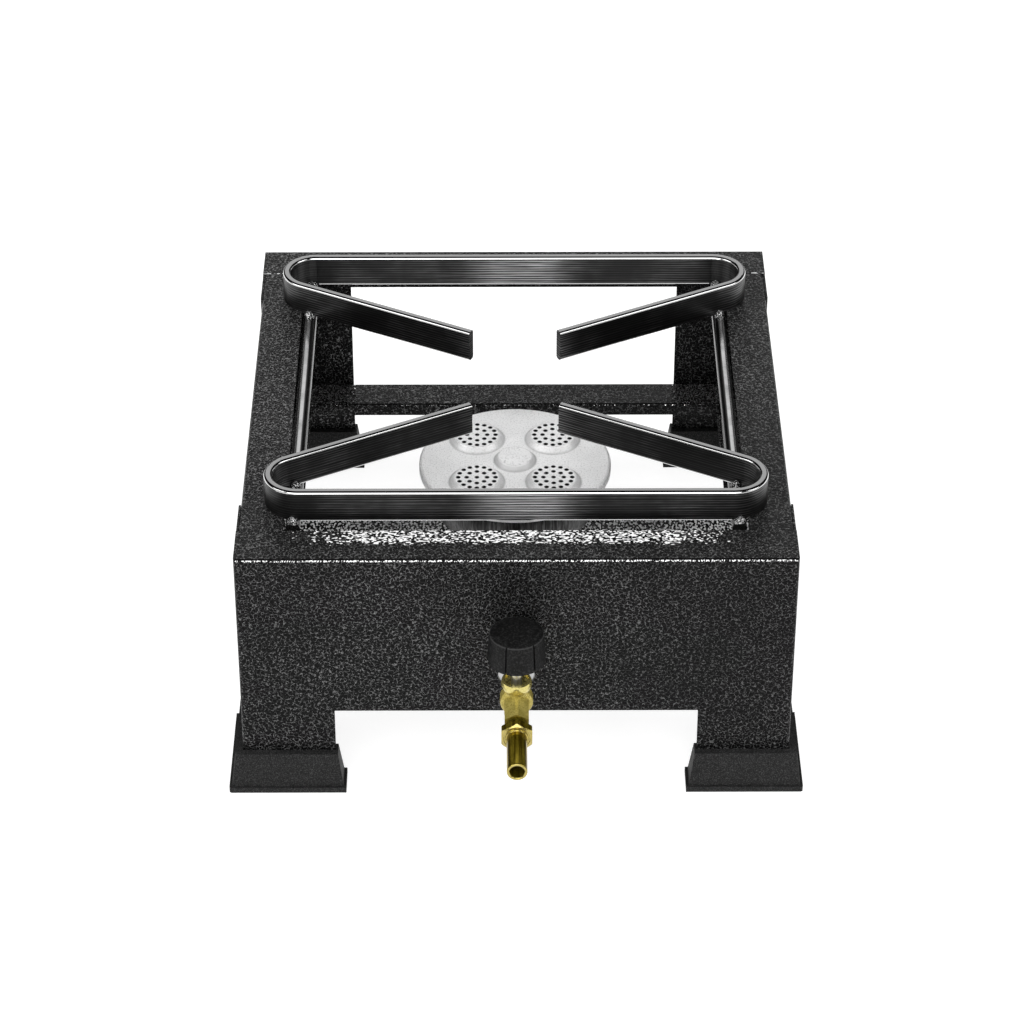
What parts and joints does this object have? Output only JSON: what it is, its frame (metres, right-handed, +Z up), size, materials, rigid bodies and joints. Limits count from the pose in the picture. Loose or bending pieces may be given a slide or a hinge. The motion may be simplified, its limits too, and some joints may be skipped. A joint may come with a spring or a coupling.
{
  "type": "single burner gas stove",
  "caption": "Low square table-top gas stove: folded sheet frame on shoe feet, lift-off bar pot support, round burner with perforated domes, and a front tap with hose tail.",
  "frame": {"origin": "on the floor, below the middle of the frame and of the burner", "axes": "+Z up, +Y from the tap to the rear, +X to the right of someone who faces the tap"},
  "size_m": [0.3162, 0.4103, 0.171],
  "materials": {
    "hammer_paint": "glossy dark hammertone enamel with a fine grey vein pattern",
    "black_shoe": "matte black moulded plastic",
    "support_steel": "dark flat bar with fine lengthwise rolling lines and bright edges",
    "rod_steel": "bright drawn rod",
    "burner_silver": "matte silver with a fine cast grain",
    "bowl_iron": "dark bare iron with upright draw marks",
    "zinc_steel": "bright zinc plate",
    "brass": "machined brass, lightly polished",
    "black_knob": "matte black moulded plastic",
    "fibre": "pressed fibre"
  },
  "bodies": {
    "frame": {"front_panel": "hammer_paint", "rear_panel": "hammer_paint", "left_side_panel": "hammer_paint", "right_side_panel": "hammer_paint", "burner_crossbar": "hammer_paint", "rear_crossbar": "hammer_paint", "foot_front_left": "black_shoe", "foot_front_right": "black_shoe", "foot_rear_left": "black_shoe", "foot_rear_right": "black_shoe", "burner_bowl": "bowl_iron", "mixing_tube": "bowl_iron", "burner_bolt": "zinc_steel", "burner_washer": "zinc_steel", "valve_spring": "zinc_steel", "valve_lock_nut": "brass", "valve_body": "brass", "valve_bonnet": "brass", "injector": "brass", "hose_nipple": "brass", "nipple_gasket": "fibre"},
    "tap": {"knob": "black_knob", "valve_spindle": "zinc_steel", "valve_plug": "brass"},
    "pot_support": {"support_front_bar": "support_steel", "support_rear_bar": "support_steel", "support_left_rod": "rod_steel", "support_right_rod": "rod_steel", "support_welds": "rod_steel"},
    "cap": {"burner_cap": "burner_silver"},
    "shutter": {"air_shutter": "zinc_steel"}
  },
  "joints": [
    {"name": "knob_turn", "type": "hinge", "parent": "frame", "child": "tap", "pos_m": [0, -0.18, 0.11], "axis": [0, 0, 1], "range_deg": [0, 90]},
    {"name": "support_lift", "type": "slide", "parent": "frame", "child": "pot_support", "axis": [0, 0, 1], "range_m": [0, 0.08]},
    {"name": "cap_lift", "type": "slide", "parent": "frame", "child": "cap", "axis": [0, 0, 1], "range_m": [0, 0.03]},
    {"name": "shutter_turn", "type": "hinge", "parent": "frame", "child": "shutter", "pos_m": [0, -0.1576, 0.0746], "axis": [0, 1, 0], "range_deg": [0, 90]}
  ]
}
